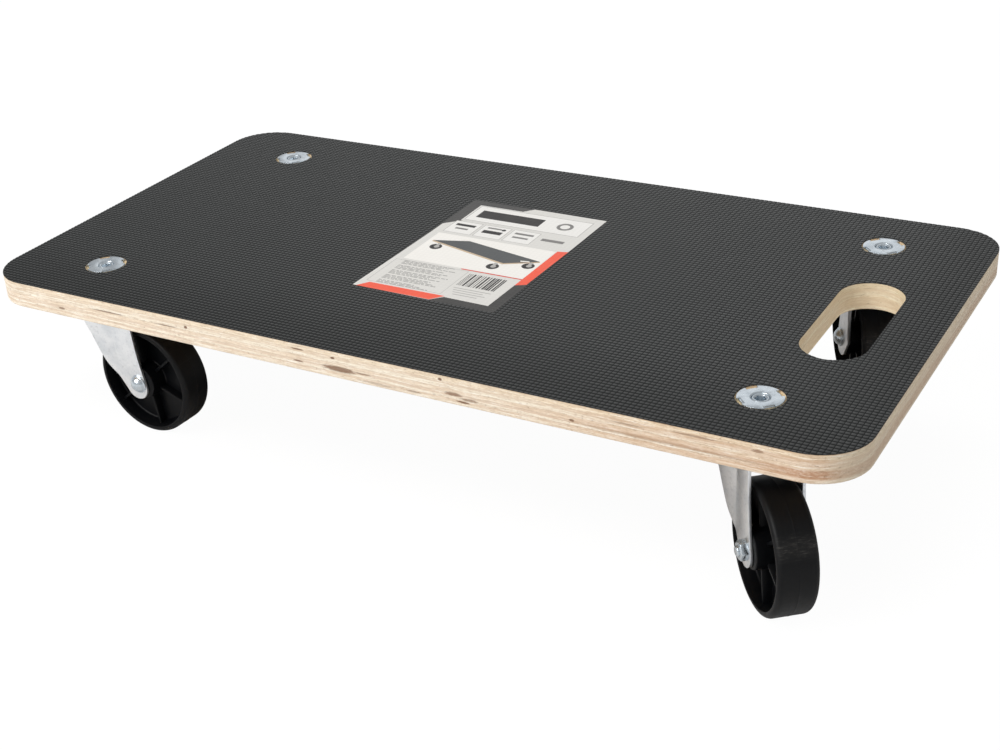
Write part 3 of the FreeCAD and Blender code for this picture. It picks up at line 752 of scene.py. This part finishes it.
# Printed field and coral borders, in convex parts: level, colour, outline.
FIELD_PARTS = [
    (1, PAPER, [(-43.667, 73.0), (48.0, 73.0), (48.0, 45.667), (-43.667, 45.667)]),
    (1, PAPER, [(-11.667, 73.0), (-5.833, 80.0), (48.667, 78.833), (48.167, 73.0)]),
    (1, PAPER, [(-41.667, 45.833), (48.167, 45.667), (47.5, 24.167), (40.0, 21.667),
                (-52.0, 21.667), (-52.0, 35.833)]),
    (1, PAPER, [(-52.0, 21.667), (40.0, 21.667), (39.0, -32.5), (-53.167, -32.5)]),
    (1, PAPER, [(-53.167, -32.5), (39.0, -32.5), (38.333, -64.167), (7.5, -63.333),
                (0.833, -70.0), (-54.167, -69.167)]),
    (2, CORAL, [(40.0, 22.5), (47.5, 24.167), (45.333, -29.167), (39.0, -32.5)]),
    (2, CORAL, [(-46.333, -62.0), (7.5, -62.0), (0.833, -69.667), (-51.667, -69.333)]),
]
# Left and right of the three small boxes.
BOXES = [(-45.667, -25.333), (-23.667, -3.667), (-2.0, 17.667)]
# Platform drawing: colour, outline.
PLATFORM = [
    (DECK_TOP, [(-43.333, 9.167), (-20.0, 16.333), (37.5, 4.167), (16.667, -6.333)]),
    (DECK_SIDE, [(-43.333, 9.167), (16.667, -6.333), (16.667, -8.0), (-43.333, 7.5)]),
    (DECK_END, [(16.667, -6.333), (37.5, 4.167), (37.5, 2.667), (16.667, -8.0)]),
]
DRAWN_WHEELS = [(-36.333, 0.667), (12.833, -13.0), (33.333, -4.333)]
DRAWN_SLOT = [(25.0, 1.333), (30.667, 2.333), (31.667, 1.167), (25.667, -0.167)]


class Sticker:
    """Collects flat polygons with a colour and a gloss each."""

    def __init__(self):
        self.verts, self.faces, self.colors, self.gloss = [], [], [], []

    def face(self, ids, color, gloss):
        self.faces.append(ids)
        self.colors.append(srgb(*color))
        self.gloss.append(gloss)

    def polygon(self, points, z, color, gloss=0.0):
        """Face from points in sticker coordinates, turned to look up."""
        pairs = zip(points, points[1:] + points[:1])
        if sum(a[0] * b[1] - b[0] * a[1] for a, b in pairs) < 0:
            points = points[::-1]
        base = len(self.verts)
        self.verts += [(*label_to_deck(*point), z) for point in points]
        self.face(list(range(base, base + len(points))), color, gloss)

    def body(self):
        outline = rounded_outline(LABEL_W, LABEL_H, LABEL_CORNER_R, 4)
        self.polygon(outline, LABEL_Z, SHEET, gloss=1.0)
        low = len(self.verts)
        self.verts += [(*label_to_deck(*point), LABEL_BED_Z) for point in outline]
        for i in range(low):
            j = (i + 1) % low
            self.face([i, low + i, low + j, j], SHEET, 1.0)

    def shape(self, points, level, color):
        """Printed polygon from points in deck coordinates, held inside the sticker."""
        reach_x, reach_y = LABEL_W / 2 - PRINT_MARGIN, LABEL_H / 2 - PRINT_MARGIN
        placed = []
        for x, y in points:
            x, y = x - LABEL_X, y - LABEL_Y
            across = LABEL_COS * x + LABEL_SIN * y
            up = -LABEL_SIN * x + LABEL_COS * y
            placed.append((max(-reach_x, min(reach_x, across)), max(-reach_y, min(reach_y, up))))
        self.polygon(placed, LABEL_Z + PRINT_STEP * level, color)

    def rect(self, left, top, right, bottom, level, color):
        self.shape([(left, top), (right, top), (right, bottom), (left, bottom)], level, color)

    def frame(self, left, top, right, bottom, thick, level, color):
        self.rect(left, top, right, top - thick, level, color)
        self.rect(left, bottom + thick, right, bottom, level, color)
        self.rect(left, top - thick, left + thick, bottom + thick, level, color)
        self.rect(right - thick, top - thick, right, bottom + thick, level, color)

    def disc(self, x, y, radius, level, color):
        self.shape(circle(x, y, radius, 28, sweep=-360), level, color)


def random_draws(state):
    """Linear congruential generator."""
    while True:
        state = (state * 1103515245 + 12345) % 2147483648
        yield state


def print_heading(sticker):
    """Heading panel, three small boxes and their plain marks."""
    sticker.rect(-42.333, 72.0, 41.667, 47.333, 2, WHITE)
    sticker.frame(-42.333, 72.0, 41.667, 47.333, 0.5, 3, PALE)
    sticker.rect(-37.0, 65.667, 9.667, 53.667, 3, DARK)
    sticker.disc(26.667, 59.667, 5.667, 3, GREY)
    sticker.disc(26.667, 59.667, 3.333, 4, WHITE)
    for left, right in BOXES:
        sticker.rect(left, 44.0, right, 25.0, 2, WHITE)
        sticker.frame(left, 44.0, right, 25.0, 0.417, 3, PALE)
    sticker.rect(-42.667, 40.0, -28.333, 36.667, 3, DARK)
    sticker.rect(-40.333, 33.667, -31.0, 31.333, 3, GREY)
    sticker.rect(-20.0, 41.333, -9.667, 39.333, 3, GREY)
    sticker.disc(-8.0, 40.0, 1.5, 3, DARK)
    sticker.rect(-20.667, 36.333, -6.667, 31.667, 3, DARK)
    sticker.rect(1.0, 40.0, 14.667, 37.333, 3, GREY)
    sticker.rect(2.0, 34.0, 13.333, 31.667, 3, GREY)
    sticker.rect(21.667, 37.667, 37.667, 34.0, 3, GREY)


def print_picture(sticker):
    """Panel with a plain drawing of a wheeled platform, and a red bar below it."""
    sticker.rect(-46.333, 21.667, 39.333, -22.667, 2, WARM)
    for color, outline in PLATFORM:
        sticker.shape(outline, 4, color)
    for x, y in DRAWN_WHEELS:
        sticker.disc(x, y, 4.167, 3, DARK)
        sticker.disc(x + 0.5, y + 0.167, 1.833, 4, PALE)
        sticker.shape([(x - 1.333, y + 5.667), (x + 1.333, y + 5.333),
                       (x + 0.833, y), (x - 0.833, y)], 5, PALE)
    sticker.shape(DRAWN_SLOT, 5, WARM)
    sticker.rect(-3.333, -23.0, 39.167, -24.167, 3, RED)


def print_small(sticker):
    """Broken strokes for small print, a pattern of bars and a frame."""
    draws = random_draws(7)
    slack = 0.01   # a stroke starting this near the end is left out
    left = -43.33333
    for row in range(23):
        top = -25.33333 - 1.53333 * row
        end = left + 25.0 + 0.166667 * ((next(draws) >> 8) % 95)
        if row % 5 == 4:   # blank row between paragraphs
            continue
        x = left
        while x < end - slack:
            width = 1.66667 + 0.166667 * ((next(draws) >> 8) % 24)
            sticker.rect(x, top, min(x + width, end), top - 0.6, 3, GREY)
            x += width + 0.83333

    x, end = 5.66667, 31.66667
    while x < end - slack:
        draw = next(draws)
        width = 0.366667 + 0.316667 * ((draw >> 9) % 4)
        sticker.rect(x, -28.0, min(x + width, end), -45.333, 3, DARK)
        x += width + 0.433333 + 0.3 * ((draw >> 13) % 3)
    for i in range(4):
        top = -48.66667 - 2.83333 * i
        right = end - (3.83333 * i) % 6.66667
        sticker.rect(6.0 + 1.33333 * i, top, right, top - 0.83333, 3, PALE)
    sticker.frame(-50.0, -25.333, 3.333, -60.333, 0.333, 2, PALE)


def build_sticker():
    sticker = Sticker()
    sticker.body()
    for level, color, outline in FIELD_PARTS:
        sticker.shape(outline, level, color)
    print_heading(sticker)
    print_picture(sticker)
    print_small(sticker)
    mesh = new_piece("sticker", sticker.verts, sticker.faces, "label_print", "deck",
                     "product_label", smooth=False).data
    color_layer = mesh.color_attributes.new("print_col", "FLOAT_COLOR", "CORNER")
    gloss_layer = mesh.attributes.new("print_gloss", "FLOAT", "FACE")
    corner_colors, face_gloss = [], []
    for polygon, color, gloss in zip(mesh.polygons, sticker.colors, sticker.gloss):
        corner_colors.extend(list(color) * polygon.loop_total)
        face_gloss.append(gloss)
    color_layer.data.foreach_set("color", corner_colors)
    gloss_layer.data.foreach_set("value", face_gloss)


# ---------------------------------------------------------------------------
# Wheels: turned body with a raised line round the tread, ribs between hub and rim
# ---------------------------------------------------------------------------
WHEEL_STEPS = 180
RIB_COUNT, RIB_START = 6, 20.0          # first rib angle in degrees
RIB_RADII = [11.0, 16.0, 22.0, 28.0, 32.4]
# Rib section: offset round the wheel, height from the mid plane.
RIB_SECTION = [(-1.45, 2.2), (-1.12, 3.4), (-1.02, 7.1), (-0.7, 7.5), (0.0, 7.6),
               (0.7, 7.5), (1.02, 7.1), (1.12, 3.4), (1.45, 2.2)]


def wheel_profile():
    """Closed section as (radius, distance from the mid plane)."""
    shoulder = 3.0
    half = [(WHEEL_R, 0.0), (WHEEL_R, 0.16), (WHEEL_R - 0.05, 0.30), (WHEEL_R - 0.10, 0.55),
            (WHEEL_R - 0.10, 3.0), (WHEEL_R - 0.08, 6.0)]
    half += arc(WHEEL_R - 0.08 - shoulder, RIM_HALF - shoulder, shoulder, 0, 90, 9)
    half += [(34.0, RIM_HALF), (33.85, RIM_HALF - 0.02)]
    half += arc(33.9, RIM_HALF - 0.5, 0.5, 95, 180, 4)
    half += [(33.0, 8.0), (31.97, WEB_HALF + 2.2)]
    half += arc(30.4, WEB_HALF + 1.5, 1.5, 0, -90, 5)
    half += [(26.0, WEB_HALF), (18.0, WEB_HALF), (13.2, WEB_HALF)]
    half += arc(13.2, WEB_HALF + 1.2, 1.2, 270, 180, 4)
    half += [(11.6, 8.0), (11.22, HUB_HALF - 0.75)]
    half += arc(10.6, HUB_HALF - 0.6, 0.6, 5, 90, 4)
    half += [(8.0, HUB_HALF), (4.95, HUB_HALF)]
    half += arc(4.95, HUB_HALF - 0.4, 0.4, 90, 180, 3)
    half += [(4.55, 6.0), (4.55, 0.0)]
    return half + [(radius, -width) for radius, width in half[-2:0:-1]]


def rib_faces(base):
    """Faces of a rib on the negative side, from its first vertex index."""
    size, last = len(RIB_SECTION), len(RIB_RADII) - 1
    rows = [list(range(base + i * size, base + (i + 1) * size)) for i in range(last + 1)]
    faces = [[rows[i][j], rows[i][j + 1], rows[i + 1][j + 1], rows[i + 1][j]]
             for i in range(last) for j in range(size - 1)]
    faces += [[rows[i][0], rows[i + 1][0], rows[i + 1][-1], rows[i][-1]] for i in range(last)]
    return faces + [rows[0][::-1], rows[-1]]


def build_wheel(name, swivel_x, swivel_y, heading, scuff):
    profile = wheel_profile()
    cos, sin = math.cos(math.radians(heading)), math.sin(math.radians(heading))
    axle_x, axle_y = swivel_x + TRAIL * cos, swivel_y + TRAIL * sin
    verts, faces, wheel_places = [], [], []

    def add_vertex(radius, width, angle, offset=0.0):
        """Vertex at a radius and angle, moved by offset round the wheel."""
        ahead = radius * math.cos(angle) + offset * math.sin(angle)
        up = -radius * math.sin(angle) + offset * math.cos(angle)
        verts.append((axle_x + ahead * cos - width * sin, axle_y + ahead * sin + width * cos,
                      AXLE_Z + up))
        wheel_places.append((radius / WHEEL_R, width / RIM_HALF, angle))

    size = len(profile)
    for i in range(WHEEL_STEPS):
        for radius, width in profile:
            add_vertex(radius, width, 2 * math.pi * i / WHEEL_STEPS)
    for i in range(WHEEL_STEPS):
        here, there = i * size, (i + 1) % WHEEL_STEPS * size
        for j in range(size):
            k = (j + 1) % size
            faces.append([here + j, here + k, there + k, there + j])
    for rib in range(RIB_COUNT):
        angle = math.radians(360.0 / RIB_COUNT * rib + RIB_START)
        for side in (-1, 1):
            rib_quads = rib_faces(len(verts))
            for radius in RIB_RADII:
                for offset, height in RIB_SECTION:
                    add_vertex(radius, side * height, angle, offset)
            faces += rib_quads if side < 0 else [face[::-1] for face in rib_quads]

    mesh = new_piece("tyre_" + name, verts, faces, "black_pp", "roller_" + name,
                     "wheel_" + name).data
    work = bmesh.new()
    work.from_mesh(mesh)
    bmesh.ops.recalc_face_normals(work, faces=work.faces)
    work.to_mesh(mesh)
    work.free()
    mesh.set_sharp_from_angle(angle=math.radians(40))
    values = np.array(wheel_places, np.float32)
    # the angle is counted from the scuffed place, from -pi to pi
    values[:, 2] = (values[:, 2] - math.radians(scuff) + math.pi) % (2 * math.pi) - math.pi
    layer = mesh.attributes.new("wheel_rw", "FLOAT_VECTOR", "POINT")
    layer.data.foreach_set("vector", values.ravel())


# ---------------------------------------------------------------------------
# Caster hardware: CAD nodes welded, flat facets dissolved, edges rounded
# ---------------------------------------------------------------------------
# CAD node prefix, new object prefix, width of the rounding
HARDWARE = [
    ("fork_", "bracket_", 0.28),
    ("tee_nut_", "teenut_", 0.16),
    ("axle_bolt_", "axlebolt_", 0.14),
    ("axle_nut_", "axlenut_", 0.16),
    ("mounting_bolt_", "capbolt_", 0.16),
]


def build_refined(node, name, width):
    source = frame["nodes"][node]
    mesh = source.data.copy()
    mesh.name = name
    work = bmesh.new()
    work.from_mesh(mesh)
    bmesh.ops.remove_doubles(work, verts=work.verts, dist=2e-6)
    bmesh.ops.dissolve_limit(work, angle_limit=math.radians(0.6), verts=work.verts,
                             edges=work.edges)
    work.to_mesh(mesh)
    work.free()
    if "custom_normal" in mesh.attributes:
        mesh.attributes.remove(mesh.attributes["custom_normal"])
    piece = bpy.data.objects.new(name, mesh)
    bpy.context.scene.collection.objects.link(piece)
    bevel = piece.modifiers.new("round", "BEVEL")
    bevel.width = width * MM
    bevel.segments = 2
    bevel.limit_method = "ANGLE"
    bevel.angle_limit = math.radians(32.0)
    bevel.use_clamp_overlap = True
    bevel.miter_outer = "MITER_ARC"
    piece.modifiers.new("tri", "TRIANGULATE")

    # bake the modifiers, then clean up what the rounding left
    depsgraph = bpy.context.evaluated_depsgraph_get()
    depsgraph.update()
    baked = bpy.data.meshes.new_from_object(piece.evaluated_get(depsgraph))
    piece.modifiers.clear()
    piece.data = baked
    baked.name = name
    work = bmesh.new()
    work.from_mesh(baked)
    bmesh.ops.remove_doubles(work, verts=work.verts, dist=1e-6)
    bmesh.ops.dissolve_degenerate(work, edges=work.edges, dist=1e-6)
    work.to_mesh(baked)
    work.free()
    baked.validate()
    for polygon in baked.polygons:
        polygon.use_smooth = True
    baked.set_sharp_from_angle(angle=math.radians(38.0))
    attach(piece, source["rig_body"])
    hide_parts(node)


build_film()
build_sticker()
for caster, placing in CASTERS.items():
    build_wheel(caster, *placing)
for caster in CASTERS:
    for node_prefix, new_prefix, round_width in HARDWARE:
        build_refined(node_prefix + caster, new_prefix + caster, round_width)


# ---------------------------------------------------------------------------
# Stage, in metres: pale floor, soft light, camera
# ---------------------------------------------------------------------------
FLOOR_HALF, FLOOR_Z = 12.0, -0.0002
scene = bpy.context.scene
scene.view_settings.view_transform = "Standard"
scene.view_settings.look = "None"
scene.view_settings.exposure = 0.0
scene.view_settings.gamma = 1.0


def build_floor():
    mesh = bpy.data.meshes.new("floor")
    corners = [(-1, -1), (1, -1), (1, 1), (-1, 1)]
    mesh.from_pydata([(x * FLOOR_HALF, y * FLOOR_HALF, FLOOR_Z) for x, y in corners],
                     [], [(0, 1, 2, 3)])
    floor = bpy.data.objects.new("floor", mesh)
    scene.collection.objects.link(floor)
    paper, tree = material("floor_paper")
    x, y, _ = tree.field("ShaderNodeNewGeometry", output="Position").xyz()
    # painted shadow: the floor is painted dark under the deck, pale elsewhere
    under = x.abs().fall(0.25, 0.34) * y.abs().fall(0.065, 0.135)
    shade = under.lerp(0.92, 0.16)
    diffuse = tree.field("ShaderNodeBsdfDiffuse", {"Color": tree.combine(shade, shade, shade)})
    glow = tree.field("ShaderNodeEmission", {"Color": (1, 1, 1, 1), "Strength": 1.03})
    # the camera sees mostly an even white
    camera_ray = tree.field("ShaderNodeLightPath", output="Is Camera Ray")
    mixed = tree.field("ShaderNodeMixShader", {0: camera_ray * 0.94, 1: diffuse, 2: glow})
    tree.add("ShaderNodeOutputMaterial", {0: mixed})
    mesh.materials.append(paper)


def build_world():
    """Even white surroundings with one brighter lobe; plain white to the camera."""
    world = bpy.data.worlds.new("studio")
    world.use_nodes = True
    scene.world = world
    tree = Tree(world.node_tree)
    lobe_direction = tuple(Vector((-0.345, 0.853, 0.385)).normalized())
    direction = tree.field("ShaderNodeTexCoord", output="Generated")
    lobe = direction.vector("DOT_PRODUCT", lobe_direction, "Value").rise(0.915, 0.968)
    camera_ray = tree.field("ShaderNodeLightPath", output="Is Camera Ray")
    strength = camera_ray.lerp(0.49 + lobe * 0.50, 1.02)
    background = tree.field("ShaderNodeBackground", {
        "Color": (1.0, 1.0, 1.0, 1.0), "Strength": strength})
    tree.add("ShaderNodeOutputWorld", {0: background})


def area_light(name, location, target, width, height, power, color):
    light = bpy.data.lights.new(name, "AREA")
    light.shape = "RECTANGLE"
    light.size, light.size_y = width, height
    light.energy = power
    light.color = color
    lamp = bpy.data.objects.new(name, light)
    scene.collection.objects.link(lamp)
    lamp.location = location
    lamp.rotation_mode = "QUATERNION"
    lamp.rotation_quaternion = (Vector(target) - Vector(location)).to_track_quat("-Z", "Y")
    lamp.visible_camera = False
    return lamp


def build_camera():
    data = bpy.data.cameras.new("camera")
    camera = bpy.data.objects.new("camera", data)
    scene.collection.objects.link(camera)
    data.sensor_fit = "HORIZONTAL"
    data.sensor_width = 36.0
    data.clip_start, data.clip_end = 0.01, 50.0
    data.lens = 57.10806
    data.shift_x, data.shift_y = 0.04614, 0.02379
    camera.location = (0.470340, -0.792422, 0.511709)
    camera.rotation_mode = "QUATERNION"
    camera.rotation_quaternion = Matrix((
        (0.86150798, -0.19374612, 0.46932551),
        (0.50376768, 0.44161647, -0.74242374),
        (-0.06342016, 0.87603501, 0.47805914))).to_quaternion()
    scene.camera = camera


build_floor()
build_world()
area_light("key", location=(-0.95, -1.95, 1.65), target=(0, 0, 0.05), width=1.7, height=1.3,
           power=46.0, color=(1.0, 0.99, 0.98))
rim = area_light("rim", location=(-0.3, 2.4, 1.3), target=(0, 0, 0.1), width=2.0, height=0.9,
                 power=14.0, color=(0.97, 0.985, 1.0))
rim.visible_glossy = False
build_camera()
